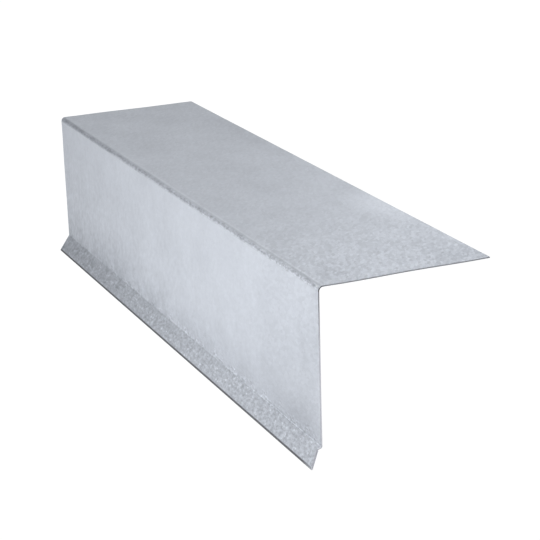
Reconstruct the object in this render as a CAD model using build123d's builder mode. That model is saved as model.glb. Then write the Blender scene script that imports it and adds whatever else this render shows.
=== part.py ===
from build123d import *
import os
from math import asin, atan2, cos, degrees, hypot, radians, sin

# Roof edge trim: one strip of galvanised sheet steel, roll-formed to one profile and cut to length.
# It lies as it would on a floor: apex up, on the flange's free edge and the nose of the hem.
# +Y runs along the strip to its far end, +X from the hem to the flange's free edge, +Z up. Millimetres.

strip_length = 325.0
sheet_thickness = 0.55

# The flange lies on the roof deck, and the face hangs over the edge board.
flange_width = 76.2
face_height = 67.0
apex_bend_angle = 90.0
apex_inner_radius = 1.6

# The kick leans out from the foot of the face and throws the water clear of the wall.
kick_length = 9.85
kick_angle = 35.7
kick_bend_radius = 0.8

# The hem is the sheet folded flat back under the kick.
hem_gap = 0.1
hem_return_length = 7.0

# Both ends are cut square across the flange and the face. The far end of the kick is square too.
# Its near end was snipped on a slant: notched beside the bend, and proud at the nose.
notch_start = 0.5
notch_place = 2.4
notch_depth = 1.9
nose_overhang = 1.6

apex_outer_radius = apex_inner_radius + sheet_thickness
nose_radius = sheet_thickness + hem_gap / 2
fold_angle = 180.0

# Flat runs of the sheet's outer side, between the ends of the bends.
apex_setback = apex_outer_radius
kick_setback = kick_bend_radius * sin(radians(kick_angle / 2)) / cos(radians(kick_angle / 2))
face_flat = face_height - apex_setback - kick_setback
kick_flat = kick_length - kick_setback - nose_radius

# Centre of the hem's nose, from the sharp outer corner at the apex: along the flange, then up from it.
lean = radians(kick_angle)
nose_reach = kick_length - nose_radius
nose_along = nose_radius * cos(lean) - nose_reach * sin(lean)
nose_up = -face_height - nose_reach * cos(lean) - nose_radius * sin(lean)

# The floor touches the flange's lower free corner and runs tangent to the nose.
span_along = flange_width - nose_along
span_up = -sheet_thickness - nose_up
flange_slope = atan2(span_up, span_along) + asin(nose_radius / hypot(span_along, span_up))
apex_height = flange_width * sin(flange_slope) + sheet_thickness * cos(flange_slope)

# The strip is centred between the nose and the flange's free edge.
nose_side = nose_along * cos(flange_slope) + nose_up * sin(flange_slope) - nose_radius
flange_side = flange_width * cos(flange_slope)
apex_offset = -(nose_side + flange_side) / 2

profile_plane = Plane(
    origin=(apex_offset, 0, apex_height),
    x_dir=(cos(flange_slope), 0, -sin(flange_slope)),
    z_dir=(0, -1, 0),
)

# The kick's outer side: x from the foot of the face to the nose, y towards the near end.
kick_slope = flange_slope + lean
kick_plane = Plane(
    origin=(apex_offset - face_height * sin(flange_slope), 0, apex_height - face_height * cos(flange_slope)),
    x_dir=(-sin(kick_slope), 0, -cos(kick_slope)),
    z_dir=(-cos(kick_slope), 0, sin(kick_slope)),
)
overall_length = strip_length + nose_overhang
nose_end = overall_length / 2
square_end = nose_end - nose_overhang
cut_reach = flange_width + face_height
cut_margin = 1.0

with BuildPart() as roof_edge_trim:
    with BuildSketch(profile_plane):
        with BuildLine():
            flange = Line((flange_width, 0), (apex_setback, 0))
            apex_bend = JernArc(flange @ 1, flange % 1, apex_outer_radius, apex_bend_angle)
            face = PolarLine(apex_bend @ 1, face_flat, direction=apex_bend % 1)
            kick_bend = JernArc(face @ 1, face % 1, kick_bend_radius, -kick_angle)
            kick = PolarLine(kick_bend @ 1, kick_flat, direction=kick_bend % 1)
            hem_nose = JernArc(kick @ 1, kick % 1, nose_radius, fold_angle)
            hem_return = PolarLine(hem_nose @ 1, hem_return_length, direction=hem_nose % 1)
            offset(amount=sheet_thickness, side=Side.RIGHT, closed=True)
        make_face()
    extrude(amount=overall_length / 2, both=True)
    with BuildSketch(kick_plane):
        with BuildLine():
            Polyline(
                (-cut_reach, square_end),
                (notch_start, square_end),
                (notch_place, square_end - notch_depth),
                (kick_length, nose_end),
                (kick_length, nose_end + cut_margin),
                (-cut_reach, nose_end + cut_margin),
                close=True,
            )
        make_face()
    extrude(amount=cut_reach, both=True, mode=Mode.SUBTRACT)

roof_edge_trim.part.label = "roof_edge_trim"

print("flange slope in the lying pose, degrees:", round(degrees(flange_slope), 3))

os.makedirs("parts", exist_ok=True)
export_step(roof_edge_trim.part, "parts/roof_edge_trim.step")
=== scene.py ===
"""The look of a roof edge trim, rolled from galvanised sheet steel and cut to length.

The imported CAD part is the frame. One strip of sheet is built over it from the same sizes, with smooth bends,
a folded hem, sheared edges and the faint waves of rolled sheet. It is dressed in zinc and in the bare steel
of its cut edges. A white table, a few soft lights and the photograph's camera stand round it.
"""

import logging
import math
from collections.abc import Sequence
from dataclasses import dataclass, field
from enum import Enum

import bmesh
import bpy
import numpy as np
from mathutils import Matrix, Vector


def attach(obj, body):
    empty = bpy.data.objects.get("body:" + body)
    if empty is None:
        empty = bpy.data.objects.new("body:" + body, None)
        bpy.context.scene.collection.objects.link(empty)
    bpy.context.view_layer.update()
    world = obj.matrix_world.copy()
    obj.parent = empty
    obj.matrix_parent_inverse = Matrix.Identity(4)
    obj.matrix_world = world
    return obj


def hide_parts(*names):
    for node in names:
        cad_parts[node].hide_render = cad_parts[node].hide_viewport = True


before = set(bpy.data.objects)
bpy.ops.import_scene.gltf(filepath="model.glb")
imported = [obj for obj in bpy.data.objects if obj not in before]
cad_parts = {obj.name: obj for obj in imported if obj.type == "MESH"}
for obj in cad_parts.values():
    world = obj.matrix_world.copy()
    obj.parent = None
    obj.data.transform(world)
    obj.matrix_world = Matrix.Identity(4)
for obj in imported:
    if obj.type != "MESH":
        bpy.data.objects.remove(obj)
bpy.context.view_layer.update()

CAD_NODE = "roof_edge_trim"
BODY = "root"
PLACE_ATTRIBUTE = "sheet_place"
METRES_PER_MM = 0.001
EDGE_POINTS = 4
EASED = {"interpolation_type": "SMOOTHSTEP"}
# Sockets of a Mix node by number, because its colour sockets share their names with others.
SHARE, UNDER, OVER, MIXED = 0, 6, 7, 2
Pair = tuple[float, float]
Socket = bpy.types.NodeSocket
log = logging.getLogger("roof_edge_trim")


class Finish(Enum):
    """Which of the strip's two finishes a face of the mesh shows. The value is its material slot."""

    ZINC = 0
    CUT_EDGE = 1


def linear_colour(hex_code: str) -> tuple[float, float, float, float]:
    """Turns an sRGB colour into the linear one that shaders take.

    Args:
        hex_code: Six hex digits, red first.

    Returns:
        Linear red, green, blue, and an alpha of 1.
    """
    channels = (int(hex_code[i : i + 2], 16) / 255 for i in (0, 2, 4))
    red, green, blue = (c / 12.92 if c <= 0.04045 else ((c + 0.055) / 1.055) ** 2.4 for c in channels)
    return red, green, blue, 1.0


def smooth_step(value: np.ndarray, low: float, high: float) -> np.ndarray:
    """Rises smoothly from 0 to 1.

    Args:
        value: Where to read the rise.
        low: Where it leaves 0.
        high: Where it reaches 1.

    Returns:
        The height of the rise at each value.
    """
    share = np.clip((value - low) / (high - low), 0.0, 1.0)
    return share * share * (3.0 - 2.0 * share)


def add_node(
    tree: bpy.types.NodeTree,
    kind: str,
    inputs: Sequence[object] | dict[str | int, object],
    output: str | int = 0,
    **settings: object,
) -> Socket:
    """Adds one node to a material's tree, with its settings and its links.

    Args:
        tree: The tree that the node joins.
        kind: Blender's name for the node's type, without its first words.
        inputs: Constants and other nodes' outputs, in the order of the node's inputs or by name or number.
        output: Name or number of the output that is wanted.
        settings: Values of the node's own properties.

    Returns:
        The wanted output.
    """
    node = tree.nodes.new("ShaderNode" + kind)
    for name, value in settings.items():
        setattr(node, name, value)
    for key, value in inputs.items() if isinstance(inputs, dict) else enumerate(inputs):
        if isinstance(value, Socket):
            tree.links.new(value, node.inputs[key])
        else:
            node.inputs[key].default_value = value
    return node.outputs[output]


def empty_material(name: str) -> bpy.types.Material:
    """Makes a material whose tree has no nodes yet.

    Args:
        name: The material's name.

    Returns:
        The material.
    """
    made = bpy.data.materials.new(name)
    made.use_nodes = True
    made.node_tree.nodes.clear()
    return made


def add_object(name: str, data: bpy.types.ID) -> bpy.types.Object:
    """Makes an object and links it to the scene.

    Args:
        name: The object's name.
        data: Its mesh, light or camera.

    Returns:
        The object.
    """
    made = bpy.data.objects.new(name, data)
    bpy.context.scene.collection.objects.link(made)
    return made


@dataclass(frozen=True)
class TrimSizes:
    """Sizes of the strip in millimetres and degrees, the same as in the CAD source.

    Starts and ends of the bends are distances on the flat sheet from the flange's free edge.
    """

    strip_length: float = 325.0
    sheet_thickness: float = 0.55
    flange_width: float = 76.2
    face_height: float = 67.0
    apex_inner_radius: float = 1.6
    kick_length: float = 9.85
    kick_angle: float = 35.7
    kick_bend_radius: float = 0.8
    hem_gap: float = 0.1
    hem_return_length: float = 7.0
    notch_start: float = 0.5
    notch_place: float = 2.4
    notch_depth: float = 1.9
    nose_overhang: float = 1.6

    @property
    def apex_outer_radius(self) -> float:
        """Radius of the apex bend on the sheet's outer side."""
        return self.apex_inner_radius + self.sheet_thickness

    @property
    def nose_radius(self) -> float:
        """Radius of the hem's nose on the sheet's outer side."""
        return self.sheet_thickness + self.hem_gap / 2

    @property
    def lean(self) -> float:
        """Angle between the face and the kick, in radians."""
        return math.radians(self.kick_angle)

    @property
    def kick_setback(self) -> float:
        """How far the kick bend starts before the sharp corner between face and kick."""
        return self.kick_bend_radius * math.tan(self.lean / 2)

    @property
    def face_flat(self) -> float:
        """Width of the face between its bends."""
        return self.face_height - self.apex_outer_radius - self.kick_setback

    @property
    def kick_flat(self) -> float:
        """Width of the kick between its bend and the nose."""
        return self.kick_length - self.kick_setback - self.nose_radius

    @property
    def nose_centre(self) -> Pair:
        """Centre of the hem's nose.

        Returns:
            Its place along the flange, and up from the sharp outer corner at the apex, in millimetres.
        """
        reach = self.kick_length - self.nose_radius
        along = self.nose_radius * math.cos(self.lean) - reach * math.sin(self.lean)
        up = -self.face_height - reach * math.cos(self.lean) - self.nose_radius * math.sin(self.lean)
        return along, up

    @property
    def flange_slope(self) -> float:
        """Slope of the flange when the strip lies on its free edge and its nose.

        Returns:
            The slope, in radians.
        """
        nose_along, nose_up = self.nose_centre
        span_along = self.flange_width - nose_along
        span_up = -self.sheet_thickness - nose_up
        past_centre = math.asin(self.nose_radius / math.hypot(span_along, span_up))
        return math.atan2(span_up, span_along) + past_centre

    @property
    def apex_height(self) -> float:
        """Height of the sharp outer corner at the apex above the floor."""
        slope = self.flange_slope
        return self.flange_width * math.sin(slope) + self.sheet_thickness * math.cos(slope)

    @property
    def apex_offset(self) -> float:
        """Place across the strip of the sharp outer corner at the apex.

        Returns:
            Its distance from the middle between the nose and the flange's free edge, in millimetres.
        """
        nose_along, nose_up = self.nose_centre
        slope = self.flange_slope
        nose_side = nose_along * math.cos(slope) + nose_up * math.sin(slope) - self.nose_radius
        return -(nose_side + self.flange_width * math.cos(slope)) / 2

    @property
    def nose_end(self) -> float:
        """Half of the overall length, from the strip's middle to the nose's near end."""
        return (self.strip_length + self.nose_overhang) / 2

    @property
    def square_end(self) -> float:
        """From the strip's middle to the near end of its flange and face."""
        return self.nose_end - self.nose_overhang

    @property
    def apex_start(self) -> float:
        """Where the flange ends and the apex bend starts."""
        return self.flange_width - self.apex_outer_radius

    @property
    def apex_end(self) -> float:
        """Where the apex bend ends and the face starts."""
        return self.apex_start + self.apex_outer_radius * math.pi / 2

    @property
    def apex_middle(self) -> float:
        """The crest of the apex bend."""
        return (self.apex_start + self.apex_end) / 2

    @property
    def kick_bend_start(self) -> float:
        """Where the face ends and the kick bend starts."""
        return self.apex_end + self.face_flat

    @property
    def nose_start(self) -> float:
        """Where the kick ends and the fold of the nose starts."""
        return self.kick_bend_start + self.kick_bend_radius * self.lean + self.kick_flat

    @property
    def nose_finish(self) -> float:
        """Where the fold of the nose ends and the hem's return starts."""
        return self.nose_start + self.nose_radius * math.pi


@dataclass(frozen=True)
class Station:
    """One place on the sheet's outer side, in the plane of the profile.

    Along and up are millimetres from the sharp outer corner at the apex. Heading is the way the sheet runs
    on, in radians, and run is how far the sheet has come from the flange's free edge.
    """

    along: float
    up: float
    heading: float
    run: float


@dataclass
class SheetWalk:
    """Follows the sheet's outer side through its flats and bends, and leaves a station at each stop."""

    along: float
    up: float
    heading: float
    run: float
    stations: list[Station] = field(default_factory=list)

    def stop(self) -> None:
        """Leaves a station where the walk is."""
        self.stations.append(Station(self.along, self.up, self.heading, self.run))

    def straight(self, stops: Sequence[float]) -> None:
        """Runs straight on.

        Args:
            stops: Distances from the start of the flat, in order. The last one is its end.
        """
        start = (self.along, self.up, self.run)
        for distance in stops:
            self.along = start[0] + distance * math.cos(self.heading)
            self.up = start[1] + distance * math.sin(self.heading)
            self.run = start[2] + distance
            self.stop()

    def bend(self, radius: float, angle: float, facets: int) -> None:
        """Runs round a bend.

        Args:
            radius: Radius of the sheet's outer side, in millimetres.
            angle: How far the sheet turns, in radians, with left turns above 0.
            facets: How many facets the bend has.
        """
        side = math.copysign(1.0, angle)
        centre_along = self.along - side * radius * math.sin(self.heading)
        centre_up = self.up + side * radius * math.cos(self.heading)
        for _ in range(facets):
            self.heading += angle / facets
            self.along = centre_along + side * radius * math.sin(self.heading)
            self.up = centre_up - side * radius * math.cos(self.heading)
            self.run += radius * abs(angle) / facets
            self.stop()


def even_stops(length: float, step: float, margin: float) -> list[float]:
    """Divides a flat, with one close stop at each end that keeps the bends crisp.

    Args:
        length: Length to divide, in millimetres.
        step: Rough distance between stops.
        margin: Distance of the close stops from the ends.

    Returns:
        Distances from the start, without 0 and with the length itself.
    """
    count = max(2, round((length - 2 * margin) / step))
    return [*np.linspace(margin, length - margin, count + 1), length]


@dataclass(frozen=True)
class SheetWaves:
    """Faint waves that a thin sheet keeps from the coil and the rolls, in millimetres.

    They leave the bends and the edges straight, and they only bend the soft reflections a little. Each wave
    is shifted by a share of its length against the one before, and slants once over a few of its lengths.
    """

    height: float = 0.05
    calm_margin: float = 9.0
    lengths_along: tuple[float, ...] = (148.0, 83.0, 57.0)
    lengths_across: tuple[float, ...] = (95.0, 61.0, 44.0)
    shift_along: float = 0.31
    shift_across: float = 0.17
    slant_lengths: float = 3.1

    def lift(self, run: np.ndarray, place: np.ndarray, flats: Sequence[Pair]) -> np.ndarray:
        """How far the sheet stands out of its plane.

        Args:
            run: Distance from the flange's free edge, in millimetres.
            place: Distance from the far end, in millimetres.
            flats: Start and end of each wide flat, as distances from the flange's free edge.

        Returns:
            Height of the wave at each place, in millimetres.
        """
        calm = np.zeros_like(run)
        for start, end in flats:
            rise = smooth_step(run, start, start + self.calm_margin)
            calm += rise * smooth_step(-run, -end, -end + self.calm_margin)
        wave = np.zeros_like(run)
        for turn, (long_wave, cross_wave) in enumerate(zip(self.lengths_along, self.lengths_across)):
            down = place / long_wave + self.shift_along * turn
            over = run / cross_wave + place / (self.slant_lengths * long_wave) + self.shift_across * turn
            wave += np.sin(2 * math.pi * down) * np.cos(2 * math.pi * over)
        return self.height * calm * wave


@dataclass
class SheetPlace:
    """Where a point lies on the flat sheet, as outputs of a material's nodes, in millimetres.

    Run is the distance from the flange's free edge, along the distance from the far end, and depth is 0 on
    the sheet's outer side and 1 on its inner side. Spread holds all three, with the two sides far apart, so
    that their patterns differ.
    """

    tree: bpy.types.NodeTree
    sizes: TrimSizes
    side_distance: float = 400.0
    run: Socket = field(init=False)
    along: Socket = field(init=False)
    depth: Socket = field(init=False)
    spread: Socket = field(init=False)

    def __post_init__(self) -> None:
        """Reads the place that the mesh stores at each of its points."""
        place = add_node(self.tree, "Attribute", (), "Vector", attribute_name=PLACE_ATTRIBUTE)
        axes = (add_node(self.tree, "SeparateXYZ", (place,), axis) for axis in "XYZ")
        self.run, self.along, self.depth = axes
        apart = (1.0, 1.0, self.side_distance)
        self.spread = add_node(self.tree, "VectorMath", (place, apart), operation="MULTIPLY")

    def stretched(self, across: float, along: float, lean: Socket | float = 0.0) -> Socket:
        """The place measured in lengths of its own for each direction, for patterns that are drawn out.

        Args:
            across: Width of a feature across the strip, in millimetres.
            along: Length of a feature along the strip, in millimetres.
            lean: How far a feature slips across the strip for each millimetre along it.

        Returns:
            The place, in features.
        """
        leaned = add_node(self.tree, "Math", (self.along, lean, self.run), operation="MULTIPLY_ADD")
        side = add_node(self.tree, "SeparateXYZ", (self.spread,), "Z")
        placed = add_node(self.tree, "CombineXYZ", (leaned, self.along, side))
        scale = (1 / across, 1 / along, 1.0)
        return add_node(self.tree, "VectorMath", (placed, scale), operation="MULTIPLY")

    def uneven(self, where: Socket, length: float = 1.0, detail: float = 2.0, grit: float = 0.5) -> Socket:
        """A pattern without order, spread evenly about 0.

        Args:
            where: The place to read it at.
            length: Length of a feature, in that place's units.
            detail: How many finer layers it has.
            grit: How strong each finer layer is against the one before.

        Returns:
            The pattern, which stays within half above and below 0.
        """
        inputs = {"Vector": where, "Scale": 1 / length, "Detail": detail, "Roughness": grit}
        noise = add_node(self.tree, "TexNoise", inputs)
        return add_node(self.tree, "Math", (noise, 0.5), operation="SUBTRACT")

    def graded(self, ends: Pair) -> Socket:
        """A value that changes evenly along the strip, from that at its far end to that at its near end."""
        return add_node(self.tree, "MapRange", (self.along, 0.0, self.sizes.strip_length, *ends))

    def aside(self, line: float) -> Socket:
        """How far a point lies to either side of a line along the strip, in millimetres."""
        past = add_node(self.tree, "Math", (self.run, line), operation="SUBTRACT")
        return add_node(self.tree, "Math", (past,), operation="ABSOLUTE")


@dataclass(frozen=True)
class ZincPatch:
    """A soft patch of paler or duller zinc, with its middle and reach on the flat sheet in millimetres."""

    run: float
    along: float
    run_reach: float
    along_reach: float
    share: float

    def tone(self, place: SheetPlace) -> Socket:
        """Fades the patch out evenly round its middle.

        Args:
            place: Where a point lies on the sheet.

        Returns:
            What the patch adds to the tone.
        """
        tree = place.tree
        past = add_node(tree, "CombineXYZ", (place.run, place.along))
        past = add_node(tree, "VectorMath", (past, (self.run, self.along, 0.0)), operation="SUBTRACT")
        reach = (1 / self.run_reach, 1 / self.along_reach, 1.0)
        past = add_node(tree, "VectorMath", (past, reach), operation="MULTIPLY")
        past = add_node(tree, "VectorMath", (past,), "Value", operation="LENGTH")
        return add_node(tree, "MapRange", (past, 1.0, 0.0, 0.0, self.share), **EASED)


@dataclass(frozen=True)
class ZincStripe:
    """A soft stripe, paler or darker, that runs along a bend; at the apex, painted highlight and painted
    shade.

    Offset is the stripe's distance from the bend towards the hem, and within its core it is at its full
    strength, in millimetres. Share is its strength at the far and the near end of the strip.
    """

    offset: float
    reach: float
    core: float
    share: Pair

    def tone(self, place: SheetPlace, bend: float) -> Socket:
        """Fades the stripe out to both sides.

        Args:
            place: Where a point lies on the sheet.
            bend: The bend's distance from the flange's free edge, in millimetres.

        Returns:
            What the stripe adds to the tone.
        """
        past = place.aside(bend + self.offset)
        inputs = (past, self.reach, self.core, 0.0, place.graded(self.share))
        return add_node(place.tree, "MapRange", inputs, **EASED)


@dataclass(frozen=True)
class GalvanisedZinc:
    """Hot-dip galvanised sheet with a small, dull spangle.

    The strip ran through molten zinc and was skin-passed, so it looks blue-grey, satin and faintly cloudy,
    with a grain about one millimetre wide and twice as long, drawn out along the coil. Rolling strained the
    zinc: the apex is crazed, the foot of the face is mottled, and the kick is frosted with bright flecks and
    dark pits. Painted highlight and painted shade lie along the apex, painted shade darkens the kick towards
    its far end, and the sharp fold of the nose is darkened by wear and by painted shade.

    Lengths are in millimetres, and shares are of the way from dull to bright. A pair gives the values at the
    far and at the near end of the strip, and a fade where it starts and where it is full.
    """

    name: str = "galvanised_zinc"
    bright_hex: str = "E6EBF3"
    dull_hex: str = "9BA0A9"
    wear_shade_hex: str = "606267"
    middle_share: float = 0.5
    roughness: float = 0.5
    frost_roughness: float = 0.2
    relief_height: float = 0.02
    relief_strength: float = 0.25
    spangle_relief: float = 2.0

    # The crystals, and the tooth between them, which is drawn coarser than it is so that it shows.
    grain_width: float = 1.2
    grain_length: float = 2.2
    grain_wander: float = 1.1
    grain_softness: float = 0.4
    grain_share: float = 0.27
    flange_lean: float = -0.41
    face_lean: float = 0.31
    tooth_width: float = 0.45
    tooth_length: float = 1.2
    tooth_share: float = 0.19
    face_gain: float = 0.42
    handled_reach: float = 110.0
    handled_gain: Pair = (0.55, 1.6)

    # The clouds, and the streaks up and down the face.
    cloud_width: float = 24.0
    cloud_detail: float = 4.0
    cloud_grit: float = 0.55
    cloud_share: float = 0.26
    streak_width: float = 3.2
    streak_length: float = 3.4
    streak_lead: float = 20.0
    streak_share: Pair = (0.66, 0.05)

    # The foot of the face.
    foot_rise: float = 22.0
    foot_fade: Pair = (1.4, -0.4)
    foot_share: Pair = (-0.12, -0.06)
    foot_frost_share: float = 0.6
    mottle_width: float = 12.0
    mottle_length: float = 13.0
    mottle_fade: Pair = (-0.1, 0.12)
    mottle_share: Pair = (-0.16, -0.05)
    kick_bend: ZincStripe = ZincStripe(offset=0.0, reach=1.2, core=0.2, share=(0.05, -0.1))

    # The strained zinc's speckle, the kick that it frosts, and the painted shade along the kick.
    frost_width: float = 1.25
    frost_length: float = 2.4
    frost_detail: float = 2.5
    frost_grit: float = 0.65
    frost_share: float = 1.4
    frost_gain: Pair = (0.75, 1.45)
    fleck_width: float = 1.4
    fleck_length: float = 1.96
    fleck_choice: Pair = (0.6, 0.75)
    fleck_fade: Pair = (0.5, 0.15)
    fleck_share: float = 0.3
    patch_width: float = 3.2
    patch_length: float = 7.0
    patch_share: Pair = (0.8, 0.0)
    kick_ramp_reach: float = 0.75
    kick_shade_ramp: Pair = (-0.17, 0.05)
    creep_length: float = 7.0
    creep_detail: float = 3.0
    creep_spread: float = 16.0
    creep_near_reach: float = 2.6
    creep_fade: Pair = (-1.2, 2.2)

    # The apex bend: crazed zinc, with painted highlight and painted shade.
    painted_highlight_side: ZincStripe = ZincStripe(offset=-1.2, reach=1.4, core=0.2, share=(0.02, 0.3))
    painted_shade_side: ZincStripe = ZincStripe(offset=1.1, reach=1.0, core=0.3, share=(-0.2, -0.34))
    craze_offset: float = 0.5
    craze_fade: Pair = (1.6, 0.6)
    craze_ragged: Pair = (0.2, 0.8)
    craze_patch_width: float = 2.0
    craze_patch_length: float = 12.0
    craze_patch_share: float = 0.8
    craze_highlight_share: Pair = (-0.03, 0.42)
    craze_speckle: Pair = (0.8, 2.7)

    # The nose of the hem, darkened by wear and by painted shade.
    wear_shade_ragged: float = 0.4
    wear_shade_onset: Pair = (-0.6, -0.1)
    wear_shade_end: Pair = (0.6, 0.0)
    wear_shade_fade: float = 8.0
    wear_shade_near_share: float = 0.45

    # The flange's free edge, tip and far stretch, and the near edge of the face.
    patches: tuple[ZincPatch, ...] = (
        ZincPatch(run=5.0, along=238.0, run_reach=17.0, along_reach=36.0, share=0.2),
        ZincPatch(run=10.0, along=316.0, run_reach=26.0, along_reach=26.0, share=-0.15),
        ZincPatch(run=2.0, along=80.0, run_reach=15.0, along_reach=75.0, share=-0.1),
        ZincPatch(run=128.0, along=328.0, run_reach=30.0, along_reach=22.0, share=0.26),
    )

    def spangle(self, place: SheetPlace) -> Socket:
        """The crystals of the zinc, plainest on the flange towards its near end, where it was handled.

        Args:
            place: Where a point lies on the sheet.

        Returns:
            What the crystals add to the tone.
        """
        tree, sizes = place.tree, place.sizes
        past_apex = add_node(tree, "Math", (place.run, sizes.apex_middle), operation="GREATER_THAN")
        lean = add_node(tree, "MapRange", (past_apex, 0.0, 1.0, self.flange_lean, self.face_lean))
        cell = place.stretched(self.grain_width, self.grain_length, lean)
        wander = add_node(tree, "TexNoise", {"Vector": cell, "Scale": 1.0, "Detail": 2.0}, "Color")
        reach = (self.grain_wander, self.grain_wander, 0.0)
        crooked = add_node(tree, "VectorMath", (wander, reach, cell), operation="MULTIPLY_ADD")
        inputs = {"Vector": crooked, "Scale": 1.0, "Smoothness": self.grain_softness}
        crystal = add_node(tree, "TexVoronoi", inputs, "Color", feature="SMOOTH_F1")
        grain = add_node(tree, "Math", (crystal, 0.5), operation="SUBTRACT")
        tooth = place.uneven(place.stretched(self.tooth_width, self.tooth_length, lean))
        tooth = add_node(tree, "Math", (tooth, self.tooth_share), operation="MULTIPLY")
        both = add_node(tree, "Math", (grain, self.grain_share, tooth), operation="MULTIPLY_ADD")
        near_end = sizes.strip_length
        inputs = (place.along, near_end - self.handled_reach, near_end, *self.handled_gain)
        handled = add_node(tree, "MapRange", inputs, **EASED)
        calm = add_node(tree, "MapRange", (place.run, sizes.apex_start, sizes.apex_end, 1.0, self.face_gain))
        gain = add_node(tree, "Math", (handled, calm), operation="MULTIPLY")
        return add_node(tree, "Math", (both, gain), operation="MULTIPLY")

    def clouds(self, place: SheetPlace) -> Socket:
        """Soft clouds over the whole sheet, and faint streaks up and down the face, left by the rolls.

        Args:
            place: Where a point lies on the sheet.

        Returns:
            What they add to the tone.
        """
        tree, sizes = place.tree, place.sizes
        cloud = place.uneven(place.spread, self.cloud_width, self.cloud_detail, self.cloud_grit)
        cloud = add_node(tree, "Math", (cloud, self.cloud_share), operation="MULTIPLY")
        streak = place.uneven(place.stretched(self.streak_length, self.streak_width, self.face_lean))
        start, share = sizes.apex_end - self.streak_lead, place.graded(self.streak_share)
        share = add_node(tree, "MapRange", (place.run, start, sizes.kick_bend_start, 0.0, share))
        return add_node(tree, "Math", (streak, share, cloud), operation="MULTIPLY_ADD")

    def mottles(self, place: SheetPlace, frost: Socket) -> Socket:
        """The foot of the face, duller and rougher towards the kick bend, and most mottled at its far end.

        Args:
            place: Where a point lies on the sheet.
            frost: The speckle of strained zinc.

        Returns:
            What the foot and its mottles add to the tone.
        """
        tree, foot = place.tree, place.sizes.kick_bend_start
        smear = place.uneven(place.stretched(self.mottle_width, self.mottle_length))
        blot = add_node(tree, "MapRange", (smear, *self.mottle_fade), **EASED)
        inputs = (blot, place.graded(self.mottle_share), place.graded(self.foot_share))
        tone_shift = add_node(tree, "Math", inputs, operation="MULTIPLY_ADD")
        tone_shift = add_node(tree, "Math", (frost, self.foot_frost_share, tone_shift), operation="MULTIPLY_ADD")
        rise = add_node(tree, "MapRange", (place.run, foot - self.foot_rise, foot))
        inputs = (place.run, *(foot + reach for reach in self.foot_fade))
        fall = add_node(tree, "MapRange", inputs, **EASED)
        band = add_node(tree, "Math", (rise, fall), operation="MULTIPLY")
        bend = self.kick_bend.tone(place, foot + place.sizes.kick_setback)
        return add_node(tree, "Math", (tone_shift, band, bend), operation="MULTIPLY_ADD")

    def frosting(self, place: SheetPlace, frost: Socket) -> Socket:
        """The frosted kick: speckled, with bright flecks here and there, and painted shade towards its far
        end.

        The frost creeps up past the kick bend along a ragged edge.

        Args:
            place: Where a point lies on the sheet.
            frost: The speckle of strained zinc.

        Returns:
            What it adds to the tone.
        """
        tree, sizes = place.tree, place.sizes
        cell = {"Vector": place.stretched(self.fleck_width, self.fleck_length), "Scale": 1.0}
        picked = add_node(tree, "TexVoronoi", cell, "Color")
        picked = add_node(tree, "MapRange", (picked, *self.fleck_choice, 0.0, self.fleck_share), **EASED)
        core = add_node(tree, "TexVoronoi", cell, "Distance")
        core = add_node(tree, "MapRange", (core, *self.fleck_fade), **EASED)
        fleck = add_node(tree, "Math", (core, picked), operation="MULTIPLY")
        speckle = add_node(tree, "Math", (frost, self.frost_share, fleck), operation="MULTIPLY_ADD")
        # Painted shade: the kick darkens towards its far end, and turns a touch lighter towards its near end.
        inputs = (place.along, 0.0, self.kick_ramp_reach * sizes.strip_length, *self.kick_shade_ramp)
        kick_tone = add_node(tree, "MapRange", inputs, **EASED)
        patch = place.uneven(place.stretched(self.patch_width, self.patch_length))
        inputs = (patch, place.graded(self.patch_share), kick_tone)
        kick_tone = add_node(tree, "Math", inputs, operation="MULTIPLY_ADD")
        inputs = (speckle, place.graded(self.frost_gain), kick_tone)
        whole = add_node(tree, "Math", inputs, operation="MULTIPLY_ADD")
        inputs = (place.along, self.creep_near_reach / sizes.strip_length, place.run)
        edge = add_node(tree, "Math", inputs, operation="MULTIPLY_ADD")
        ragged = place.uneven(place.spread, self.creep_length, self.creep_detail)
        edge = add_node(tree, "Math", (ragged, self.creep_spread, edge), operation="MULTIPLY_ADD")
        inputs = (edge, *(sizes.kick_bend_start + reach for reach in self.creep_fade))
        frosted = add_node(tree, "MapRange", inputs, **EASED)
        return add_node(tree, "Math", (whole, frosted), operation="MULTIPLY")

    def crazing(self, place: SheetPlace, frost: Socket) -> Socket:
        """The apex bend: painted highlight towards the flange, crazed zinc and painted shade towards the face.

        Args:
            place: Where a point lies on the sheet.
            frost: The speckle of strained zinc.

        Returns:
            What it adds to the tone.
        """
        tree, bend = place.tree, place.sizes.apex_middle
        # Painted highlight on the flange side of the crest, painted shade on its face side.
        sides = (self.painted_highlight_side.tone(place, bend), self.painted_shade_side.tone(place, bend))
        sides = add_node(tree, "Math", sides, operation="ADD")
        inputs = (frost, place.graded(self.craze_ragged), place.aside(bend + self.craze_offset))
        ragged = add_node(tree, "Math", inputs, operation="MULTIPLY_ADD")
        band = add_node(tree, "MapRange", (ragged, *self.craze_fade), **EASED)
        patch = place.uneven(place.stretched(self.craze_patch_width, self.craze_patch_length))
        # The crazed band grows lighter towards the near end, a painted highlight.
        inputs = (patch, self.craze_patch_share, place.graded(self.craze_highlight_share))
        tone_shift = add_node(tree, "Math", inputs, operation="MULTIPLY_ADD")
        inputs = (frost, place.graded(self.craze_speckle), tone_shift)
        speckle = add_node(tree, "Math", inputs, operation="MULTIPLY_ADD")
        return add_node(tree, "Math", (speckle, band, sides), operation="MULTIPLY_ADD")

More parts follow.
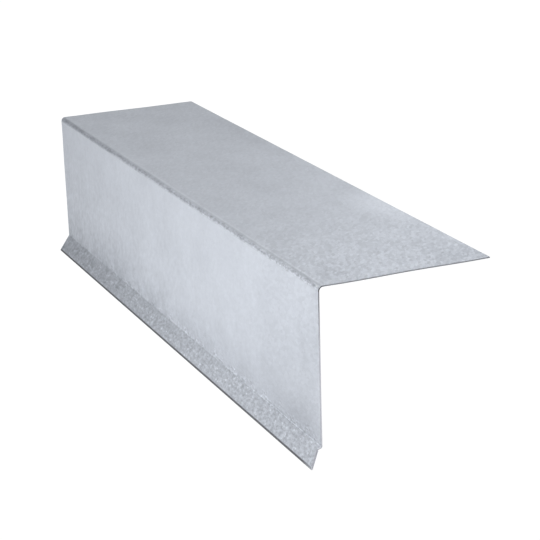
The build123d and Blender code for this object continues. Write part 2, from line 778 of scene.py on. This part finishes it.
    def wear_and_shade(self, place: SheetPlace, frost: Socket) -> Socket:
        """The sharp fold of the nose, dark with worn zinc and with painted shade, least at the near tip.

        Args:
            place: Where a point lies on the sheet.
            frost: The speckle of strained zinc.

        Returns:
            How dark the fold is, by wear and by painted shade, from 0 to 1.
        """
        tree, sizes = place.tree, place.sizes
        # Wear and painted shade darken the fold of the nose.
        ragged = add_node(tree, "Math", (frost, self.wear_shade_ragged, place.run), operation="MULTIPLY_ADD")
        inputs = (ragged, *(sizes.nose_start + reach for reach in self.wear_shade_onset))
        onset = add_node(tree, "MapRange", inputs, **EASED)
        inputs = (ragged, *(sizes.nose_finish + reach for reach in self.wear_shade_end))
        end = add_node(tree, "MapRange", inputs, **EASED)
        worn_and_shaded = add_node(tree, "Math", (onset, end), operation="MULTIPLY")
        near_tip = sizes.strip_length + sizes.nose_overhang
        inputs = (place.along, near_tip - self.wear_shade_fade, near_tip, 1.0, self.wear_shade_near_share)
        kept = add_node(tree, "MapRange", inputs)
        return add_node(tree, "Math", (worn_and_shaded, kept), operation="MULTIPLY")

    def material(self, sizes: TrimSizes) -> bpy.types.Material:
        """Makes the zinc's material.

        Args:
            sizes: Sizes of the strip, which say where its bends are.

        Returns:
            The material.
        """
        made = empty_material(self.name)
        tree = made.node_tree
        place = SheetPlace(tree, sizes)
        cell = place.stretched(self.frost_width, self.frost_length)
        frost = place.uneven(cell, detail=self.frost_detail, grit=self.frost_grit)
        spangle, frosting = self.spangle(place), self.frosting(place, frost)
        parts = [spangle, frosting, self.clouds(place), self.mottles(place, frost)]
        parts += [self.crazing(place, frost), *(patch.tone(place) for patch in self.patches)]
        tone: Socket | float = self.middle_share
        for part in parts:
            tone = add_node(tree, "Math", (part, tone), operation="ADD")
        inputs = {SHARE: tone, UNDER: linear_colour(self.dull_hex), OVER: linear_colour(self.bright_hex)}
        zinc = add_node(tree, "Mix", inputs, MIXED, data_type="RGBA", clamp_factor=False)
        # The nose's dark colour stands for wear and for painted shade.
        inputs = {SHARE: self.wear_and_shade(place, frost), UNDER: zinc, OVER: linear_colour(self.wear_shade_hex)}
        colour = add_node(tree, "Mix", inputs, MIXED, data_type="RGBA")
        inputs = (frost, self.frost_roughness, self.roughness)
        roughness = add_node(tree, "Math", inputs, operation="MULTIPLY_ADD")
        relief = add_node(tree, "Math", (spangle, self.spangle_relief, frosting), operation="MULTIPLY_ADD")
        height = self.relief_height * METRES_PER_MM
        inputs = {"Strength": self.relief_strength, "Distance": height, "Height": relief}
        bump = add_node(tree, "Bump", inputs)
        inputs = {"Base Color": colour, "Metallic": 1.0, "Roughness": roughness, "Normal": bump}
        shader = add_node(tree, "BsdfPrincipled", inputs)
        tree.links.new(shader, tree.nodes.new("ShaderNodeOutputMaterial").inputs["Surface"])
        return made


@dataclass(frozen=True)
class ShearedSteel:
    """Bare mild steel where the shears parted the sheet.

    The blade leaves a burnished band under the outer side, which mirrors the darker room, and a matt, paler
    tear below it, with fine scores across the edge. It is dark here and there, and darkest at the apex, with
    painted shade. Down the face the cut is paler, with painted light that grows away from the apex.

    Lengths are in millimetres. The tear fades in over shares of the sheet's thickness, and the painted light
    over distances from the apex bend. Real scores are too fine to show, so they are drawn about 0.3 mm apart.
    """

    name: str = "sheared_steel"
    burnished_hex: str = "919297"
    torn_hex: str = "A0A2A8"
    dark_hex: str = "4A4A4D"
    painted_light_hex: str = "D2D3DA"
    burnished_roughness: float = 0.4
    torn_roughness: float = 0.65
    score_width: float = 0.3
    score_height: float = 0.02
    score_strength: float = 0.3
    tear_ragged: float = 0.5
    tear_fade: Pair = (0.15, 0.6)
    dark_length: float = 6.0
    dark_fade: Pair = (-0.08, 0.12)
    dark_share: float = 0.5
    apex_shade_fade: Pair = (2.6, 1.3)
    painted_light_ragged: float = 20.0
    painted_light_fade: Pair = (2.0, 28.0)

    def darkness(self, place: SheetPlace) -> Socket:
        """The dark stretches of the cut, and the painted shade at its apex.

        Args:
            place: Where a point lies on the sheet.

        Returns:
            How dark the cut is, by its own dark stretches and by painted shade, from 0 to 1.
        """
        tree = place.tree
        uneven = place.uneven(place.spread, self.dark_length)
        uneven = add_node(tree, "MapRange", (uneven, *self.dark_fade, 0.0, self.dark_share), **EASED)
        # Painted shade: the cut darkens towards the apex bend.
        past = place.aside(place.sizes.apex_middle)
        apex_shade = add_node(tree, "MapRange", (past, *self.apex_shade_fade), **EASED)
        return add_node(tree, "Math", (uneven, apex_shade), operation="MAXIMUM")

    def material(self, sizes: TrimSizes) -> bpy.types.Material:
        """Makes the cut edge's material.

        Args:
            sizes: Sizes of the strip, which say where its face is.

        Returns:
            The material.
        """
        made = empty_material(self.name)
        tree = made.node_tree
        place = SheetPlace(tree, sizes)
        scored = place.uneven(place.spread, self.score_width)
        tear = add_node(tree, "Math", (scored, self.tear_ragged, place.depth), operation="MULTIPLY_ADD")
        torn = add_node(tree, "MapRange", (tear, *self.tear_fade), **EASED)
        # Painted light: the cut grows paler down the face, away from the apex.
        ragged = add_node(tree, "Math", (scored, self.painted_light_ragged, place.run), operation="MULTIPLY_ADD")
        inputs = (ragged, *(sizes.apex_end + reach for reach in self.painted_light_fade))
        painted_light = add_node(tree, "MapRange", inputs, **EASED)
        colour: Socket | tuple[float, ...] = linear_colour(self.burnished_hex)
        dark = self.darkness(place)
        layers = ((torn, self.torn_hex), (dark, self.dark_hex), (painted_light, self.painted_light_hex))
        for share, hex_code in layers:
            inputs = {SHARE: share, UNDER: colour, OVER: linear_colour(hex_code)}
            colour = add_node(tree, "Mix", inputs, MIXED, data_type="RGBA")
        inputs = (torn, 0.0, 1.0, self.burnished_roughness, self.torn_roughness)
        roughness = add_node(tree, "MapRange", inputs)
        height = self.score_height * METRES_PER_MM
        inputs = {"Strength": self.score_strength, "Distance": height, "Height": scored}
        bump = add_node(tree, "Bump", inputs)
        inputs = {"Base Color": colour, "Metallic": 1.0, "Roughness": roughness, "Normal": bump}
        shader = add_node(tree, "BsdfPrincipled", inputs)
        tree.links.new(shader, tree.nodes.new("ShaderNodeOutputMaterial").inputs["Surface"])
        return made


@dataclass(frozen=True)
class SheetLoop:
    """A closed loop round the sheet's section, with one row of each array for a point.

    Point and normal lie in the plane of the profile, and run is the distance from the flange's free edge.
    Depth is 0 on the outer and 1 on the inner side, and lift is the way in which a wave moves the point.
    The outer side comes first, then the hem's edge, the inner side backwards, and the flange's edge.
    """

    point: np.ndarray
    normal: np.ndarray
    run: np.ndarray
    depth: np.ndarray
    lift: np.ndarray


@dataclass
class RolledStrip:
    """The whole trim: one strip of sheet with its flange, apex bend, face, kick and folded hem.

    Lengths are in millimetres. The end's rounding gives places and insets as shares of the edge's radius,
    and edge_depths says how deep in the sheet the points of its rounded edges count.
    """

    sizes: TrimSizes = field(default_factory=TrimSizes)
    waves: SheetWaves = field(default_factory=SheetWaves)
    zinc: GalvanisedZinc = field(default_factory=GalvanisedZinc)
    cut_edge: ShearedSteel = field(default_factory=ShearedSteel)
    name: str = "rolled_strip"
    flat_step: float = 2.0
    row_step: float = 2.6
    close_stop: float = 0.35
    apex_facets: int = 14
    kick_bend_facets: int = 6
    kick_facets: int = 5
    nose_facets: int = 14
    return_facets: int = 4
    edge_radius: float = 0.08
    edge_depths: tuple[float, ...] = (0.05, 0.15, 0.85, 0.95)
    end_rounding: tuple[Pair, ...] = ((0.0, 0.95), (0.3, 0.3), (1.0, 0.0))
    end_stops: tuple[float, ...] = (0.23, 0.9, 2.0, 3.5)
    snip_reach: float = 12.0
    cut_gap: float = 3.0
    cut_width: float = 3.0
    map_margin: float = 2.0

    def walk(self) -> list[Station]:
        """Follows the sheet's outer side from the flange's free edge to the end of the hem's return.

        Returns:
            The stations, whose first and last are one edge radius short of the sheet's edges.
        """
        sizes = self.sizes
        path = SheetWalk(sizes.flange_width - self.edge_radius, 0.0, math.pi, self.edge_radius)
        path.stop()
        path.straight(even_stops(sizes.apex_start - self.edge_radius, self.flat_step, self.close_stop))
        path.bend(sizes.apex_outer_radius, math.pi / 2, self.apex_facets)
        path.straight(even_stops(sizes.face_flat, self.flat_step, self.close_stop))
        path.bend(sizes.kick_bend_radius, -sizes.lean, self.kick_bend_facets)
        start, notch = sizes.notch_start - sizes.kick_setback, sizes.notch_place - sizes.kick_setback
        kick_stops = np.linspace(notch, sizes.kick_flat - self.close_stop, self.kick_facets + 1)
        path.straight([start, (start + notch) / 2, *kick_stops, sizes.kick_flat])
        path.bend(sizes.nose_radius, math.pi, self.nose_facets)
        beside_notch = sizes.kick_length - sizes.nose_radius - sizes.notch_place
        return_stops = np.linspace(0.0, beside_notch, self.return_facets + 1)[1:]
        path.straight([*return_stops, sizes.hem_return_length - self.edge_radius])
        return path.stations

    def rounded_edge(self, station: Station, onward: float) -> tuple[np.ndarray, np.ndarray]:
        """Rounds one edge of the sheet.

        Args:
            station: The station nearest to the edge.
            onward: 1 where the edge lies ahead of the station, and -1 where it lies behind.

        Returns:
            Four points from the outer to the inner side, and their normals.
        """
        across = np.array((math.sin(station.heading), -math.cos(station.heading)))
        outward = onward * np.array((math.cos(station.heading), math.sin(station.heading)))
        half = self.sizes.sheet_thickness / 2
        middle = np.array((station.along, station.up)) - half * across
        points, normals = [], []
        for side, angle in ((1, math.pi / 4), (1, math.pi / 2), (-1, math.pi / 2), (-1, math.pi / 4)):
            away = side * math.cos(angle) * across + math.sin(angle) * outward
            points.append(middle + side * (half - self.edge_radius) * across + self.edge_radius * away)
            normals.append(away)
        return np.array(points), np.array(normals)

    def outline(self) -> SheetLoop:
        """Closes the outer and the inner side into one loop with rounded edges.

        Returns:
            The loop.
        """
        stations = self.walk()
        outer = np.array([(station.along, station.up) for station in stations])
        headings = [station.heading for station in stations]
        across = np.array([(math.sin(heading), -math.cos(heading)) for heading in headings])
        run = np.array([station.run for station in stations])
        inner = outer - self.sizes.sheet_thickness * across
        hem_point, hem_normal = self.rounded_edge(stations[-1], 1.0)
        free_point, free_normal = self.rounded_edge(stations[0], -1.0)
        hem_run, free_run = np.full(EDGE_POINTS, run[-1]), np.full(EDGE_POINTS, run[0])
        hem_lift, free_lift = np.tile(across[-1], (EDGE_POINTS, 1)), np.tile(across[0], (EDGE_POINTS, 1))
        depths = np.array(self.edge_depths)
        return SheetLoop(
            point=np.concatenate((outer, hem_point, inner[::-1], free_point[::-1])),
            normal=np.concatenate((across, hem_normal, -across[::-1], free_normal[::-1])),
            run=np.concatenate((run, hem_run, run[::-1], free_run)),
            depth=np.concatenate((np.zeros(len(run)), depths, np.ones(len(run)), depths[::-1])),
            lift=np.concatenate((across, hem_lift, across[::-1], free_lift)),
        )

    def rows(self) -> tuple[np.ndarray, np.ndarray]:
        """Divides the strip's length into rows, with the rounded cut at both ends.

        Returns:
            Each row's distance from the far end, and how far its loop shrinks inward, both in millimetres.
        """
        lead = [(place * self.edge_radius, inset * self.edge_radius) for place, inset in self.end_rounding]
        lead += [(place, 0.0) for place in self.end_stops]
        length = self.sizes.square_end + self.sizes.nose_end
        start = self.end_stops[-1]
        count = round((length - 2 * start) / self.row_step)
        even = [(place, 0.0) for place in np.linspace(start, length - start, count + 1)[1:-1]]
        tail = [(length - place, inset) for place, inset in reversed(lead)]
        table = np.array(lead + even + tail)
        return table[:, 0], table[:, 1]

    def snip(self, points: np.ndarray) -> np.ndarray:
        """How far the near end stands proud of, or short of, the square end of flange and face.

        Args:
            points: Places in the profile's plane.

        Returns:
            The distance at each place, above 0 where the sheet is longer.
        """
        sizes = self.sizes
        above_foot = points[:, 1] + sizes.face_height
        reach = -points[:, 0] * math.sin(sizes.lean) - above_foot * math.cos(sizes.lean)
        corners = (sizes.notch_start, sizes.notch_place, sizes.kick_length)
        return np.interp(reach, corners, (0.0, -sizes.notch_depth, sizes.nose_overhang))

    def vertices(self, loop: SheetLoop) -> tuple[np.ndarray, np.ndarray]:
        """Sweeps the loop along the strip.

        Args:
            loop: The sheet's section.

        Returns:
            Places in the row frame in metres, and places on the flat sheet in millimetres, row by row.
        """
        sizes = self.sizes
        distance, inset = self.rows()
        near = 1.0 - smooth_step(distance[-1] - distance, 0.0, self.snip_reach)
        place = distance[:, None] + near[:, None] * self.snip(loop.point)
        run = np.broadcast_to(loop.run, place.shape)
        depth = np.broadcast_to(loop.depth, place.shape)
        flats = ((0.0, sizes.apex_start), (sizes.apex_end, sizes.kick_bend_start))
        lift = self.waves.lift(run, place, flats)
        flat = loop.point - inset[:, None, None] * loop.normal + lift[..., None] * loop.lift
        cos_slope, sin_slope = math.cos(sizes.flange_slope), math.sin(sizes.flange_slope)
        x = sizes.apex_offset + flat[..., 0] * cos_slope + flat[..., 1] * sin_slope
        z = sizes.apex_height - flat[..., 0] * sin_slope + flat[..., 1] * cos_slope
        where = np.stack((x, sizes.nose_end - place, z), axis=-1).reshape(-1, 3) * METRES_PER_MM
        return where, np.stack((run, place, depth), axis=-1).reshape(-1, 3)

    def faces(self, around: int, row_count: int) -> tuple[list[tuple[int, ...]], list[Finish]]:
        """Joins the rows into walls and closes both ends.

        Args:
            around: How many points the loop has.
            row_count: How many rows there are.

        Returns:
            The faces, and the finish of each.
        """
        count = around // 2 - EDGE_POINTS
        made: list[tuple[int, ...]] = []
        finishes: list[Finish] = []
        hem_edge = range(count, count + EDGE_POINTS - 1)
        free_edge = range(around - EDGE_POINTS, around - 1)
        for start in range(0, (row_count - 1) * around, around):
            for i in range(around):
                j = (i + 1) % around
                made.append((start + i, start + j, start + around + j, start + around + i))
                finishes.append(Finish.CUT_EDGE if i in hem_edge or i in free_edge else Finish.ZINC)
        last_inner = around - EDGE_POINTS - 1
        caps = [[*range(count - 1, count + EDGE_POINTS + 1)], [*range(last_inner, around), 0]]
        caps += [[i, i + 1, last_inner - i - 1, last_inner - i] for i in range(count - 1)]
        near = (row_count - 1) * around
        for cap in caps:
            made.append(tuple(reversed(cap)))
            made.append(tuple(near + i for i in cap))
            finishes += [Finish.CUT_EDGE, Finish.CUT_EDGE]
        return made, finishes

    def sheet_map(self, loop: SheetLoop, on_sheet: np.ndarray, mesh: bpy.types.Mesh) -> None:
        """Lays the strip out flat as the map that the looks are baked through, outer side beside inner side.

        The cut at each end lies beyond that end, drawn wider than the sheet is thick.

        Args:
            loop: The sheet's section.
            on_sheet: Places on the flat sheet.
            mesh: The strip's mesh.
        """
        around = len(loop.run)
        steps = np.linalg.norm(np.roll(loop.point, -1, axis=0) - loop.point, axis=1)
        round_loop = np.concatenate(([0.0], np.cumsum(steps)))
        corner = np.zeros(len(mesh.loops), dtype=np.int64)
        mesh.loops.foreach_get("vertex_index", corner)
        across = round_loop[corner % around]
        along = on_sheet[corner, 1]
        starts = np.array([face.loop_start for face in mesh.polygons])
        totals = np.array([face.loop_total for face in mesh.polygons])
        wall_count = len(on_sheet) - around
        closing = starts[around - 1 : wall_count : around]
        for step in (1, 2):
            across[closing + step] = round_loop[-1]
        length = on_sheet[:, 1].max()
        for number in range(wall_count, len(starts)):
            chosen = slice(starts[number], starts[number] + totals[number])
            beyond = self.cut_gap + self.cut_width * on_sheet[corner[chosen], 2]
            across[chosen] = on_sheet[corner[chosen], 0]
            along[chosen] = length + beyond if (number - wall_count) % 2 else -beyond
        beyond = self.cut_gap + self.cut_width
        flat = np.stack((across, along + beyond), axis=-1) + self.map_margin
        flat /= max(round_loop[-1], length + 2 * beyond) + 2 * self.map_margin
        layer = mesh.uv_layers.new(name="OFBake")
        layer.data.foreach_set("uv", flat.astype(np.float32).ravel())

    def build(self) -> bpy.types.Object:
        """Builds and dresses the strip.

        Returns:
            The strip's object, which stands for the CAD node.
        """
        loop = self.outline()
        around = len(loop.run)
        where, on_sheet = self.vertices(loop)
        faces, finishes = self.faces(around, len(where) // around)
        mesh = bpy.data.meshes.new(self.name)
        mesh.from_pydata(where.tolist(), [], faces)
        self.sheet_map(loop, on_sheet, mesh)
        place = mesh.attributes.new(PLACE_ATTRIBUTE, "FLOAT_VECTOR", "POINT")
        place.data.foreach_set("vector", on_sheet.astype(np.float32).ravel())
        mesh.polygons.foreach_set("material_index", [finish.value for finish in finishes])
        mesh.polygons.foreach_set("use_smooth", [finish is Finish.ZINC for finish in finishes])
        mesh.validate()
        mesh.update()
        mesh.materials.append(self.zinc.material(self.sizes))
        mesh.materials.append(self.cut_edge.material(self.sizes))
        strip = add_object(self.name, mesh)
        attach(strip, BODY)
        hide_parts(CAD_NODE)
        return strip


@dataclass(frozen=True)
class WhiteTable:
    """A light table: opal acrylic lit from below, which drowns all but the faintest shadow.

    It is only just white, so that it doesn't eat away the strip's soft outline. Lengths are in metres.
    """

    name: str = "white_table"
    half_width: float = 4.0
    glow_hex: str = "FFFFFF"
    glow: float = 0.98
    surface_hex: str = "5C5C5C"

    def build(self) -> bpy.types.Object:
        """Builds the table as the floor of the stage.

        Returns:
            The table's object.
        """
        half = self.half_width
        corners = [(-half, -half, 0.0), (half, -half, 0.0), (half, half, 0.0), (-half, half, 0.0)]
        mesh = bpy.data.meshes.new(self.name)
        mesh.from_pydata(corners, [], [(0, 1, 2, 3)])
        made = empty_material(self.name)
        tree = made.node_tree
        surface = add_node(tree, "BsdfDiffuse", (linear_colour(self.surface_hex),))
        lit = add_node(tree, "Emission", (linear_colour(self.glow_hex), self.glow))
        both = add_node(tree, "AddShader", (surface, lit))
        tree.links.new(both, tree.nodes.new("ShaderNodeOutputMaterial").inputs["Surface"])
        mesh.materials.append(made)
        table = add_object(self.name, mesh)
        return table


@dataclass(frozen=True)
class PaperDome:
    """A pale paper dome behind everything, for views past the table. It casts no light and no shadow.

    Lengths are in metres.
    """

    name: str = "paper_dome"
    radius: float = 3.9
    meridians: int = 48
    parallels: int = 24
    paper_hex: str = "F4F6F8"

    def build(self) -> bpy.types.Object:
        """Builds the dome as a part of the stage.

        Returns:
            The dome's object.
        """
        mesh = bpy.data.meshes.new(self.name)
        form = bmesh.new()
        bmesh.ops.create_uvsphere(
            form, u_segments=self.meridians, v_segments=self.parallels, radius=self.radius
        )
        form.to_mesh(mesh)
        form.free()
        made = empty_material(self.name)
        tree = made.node_tree
        paper = add_node(tree, "Emission", (linear_colour(self.paper_hex),))
        tree.links.new(paper, tree.nodes.new("ShaderNodeOutputMaterial").inputs["Surface"])
        mesh.materials.append(made)
        dome = add_object(self.name, mesh)
        dome.visible_diffuse = False
        dome.visible_glossy = False
        dome.visible_transmission = False
        dome.visible_shadow = False
        return dome


@dataclass(frozen=True)
class Softbox:
    """One soft studio light, square and white. Lengths are in metres, and power is in watts."""

    name: str
    place: tuple[float, float, float]
    width: float
    power: float
    aim: tuple[float, float, float] = (0.0, 0.0, 0.02)

    def build(self) -> bpy.types.Object:
        """Hangs the light and turns it to its aim.

        Returns:
            The light's object.
        """
        data = bpy.data.lights.new(self.name, "AREA")
        data.size = self.width
        data.energy = self.power
        light = add_object(self.name, data)
        light.location = self.place
        light.rotation_euler = (Vector(self.aim) - Vector(self.place)).to_track_quat("-Z", "Y").to_euler()
        light.visible_camera = False
        return light


@dataclass(frozen=True)
class Studio:
    """The room's even light and its softboxes."""

    room_hex: str = "FFFFFF"
    room_strength: float = 0.15
    softboxes: tuple[Softbox, ...] = (
        Softbox("left_low_softbox", (-0.26, 0.16, 0.10), 0.15, 0.115),
        Softbox("left_softbox", (-0.30, 0.30, 0.25), 0.2, 0.225),
        Softbox("left_back_softbox", (-0.386, 0.669, 0.227), 0.35, 0.18),
        Softbox("left_high_softbox", (-0.346, 0.6, 0.42), 0.5, 0.34),
        Softbox("high_softbox", (0.0, 0.424, 0.698), 0.5, 0.93),
        Softbox("right_back_softbox", (0.227, 0.392, 0.231), 0.25, 0.15),
        Softbox("right_softbox", (0.669, 0.386, 0.227), 0.35, 1.03),
        Softbox("front_softbox", (0.0, -0.655, 0.479), 0.5, 1.5),
    )

    def build(self) -> list[bpy.types.Object]:
        """Lights the room.

        Returns:
            The lights' objects.
        """
        world = bpy.data.worlds.new("studio_room")
        world.use_nodes = True
        background = world.node_tree.nodes["Background"]
        background.inputs["Color"].default_value = linear_colour(self.room_hex)
        background.inputs["Strength"].default_value = self.room_strength
        bpy.context.scene.world = world
        return [softbox.build() for softbox in self.softboxes]


@dataclass(frozen=True)
class PhotoCamera:
    """The photograph's camera, found from the strip's corners and edges.

    Place and aim are in the row frame. Lengths are in millimetres, and roll is in degrees.
    """

    name: str = "photo_camera"
    lens: float = 116.91
    nearest: float = 10.0
    place: tuple[float, float, float] = (-51.108, -738.090, 394.786)
    aim: tuple[float, float, float] = (-1.952, -76.084, 25.0)
    roll: float = -47.2376

    def build(self) -> bpy.types.Object:
        """Sets up the camera and makes it the scene's own.

        Returns:
            The camera's object.
        """
        data = bpy.data.cameras.new(self.name)
        data.lens = self.lens
        data.clip_start = self.nearest * METRES_PER_MM
        camera = add_object(self.name, data)
        towards = Vector(self.aim) - Vector(self.place)
        level = towards.to_track_quat("-Z", "Y").to_matrix().to_4x4()
        turned = level @ Matrix.Rotation(math.radians(self.roll), 4, "Z")
        camera.matrix_world = Matrix.Translation(Vector(self.place) * METRES_PER_MM) @ turned
        bpy.context.scene.camera = camera
        return camera


def main() -> None:
    """Builds the trim, the stage, the lights and the camera."""
    logging.basicConfig(level=logging.INFO, format="%(name)s: %(message)s")
    bpy.context.scene.view_settings.view_transform = "Standard"
    strip = RolledStrip().build()
    log.info("%s: %d faces", strip.name, len(strip.data.polygons))
    table = WhiteTable().build()
    log.info("%s: the floor of the stage", table.name)
    dome = PaperDome().build()
    log.info("%s: the background of low views", dome.name)
    for light in Studio().build():
        log.info("%s: %.2f W", light.name, light.data.energy)
    camera = PhotoCamera().build()
    log.info("%s: %.1f mm lens", camera.name, camera.data.lens)


if __name__ == "__main__":
    main()
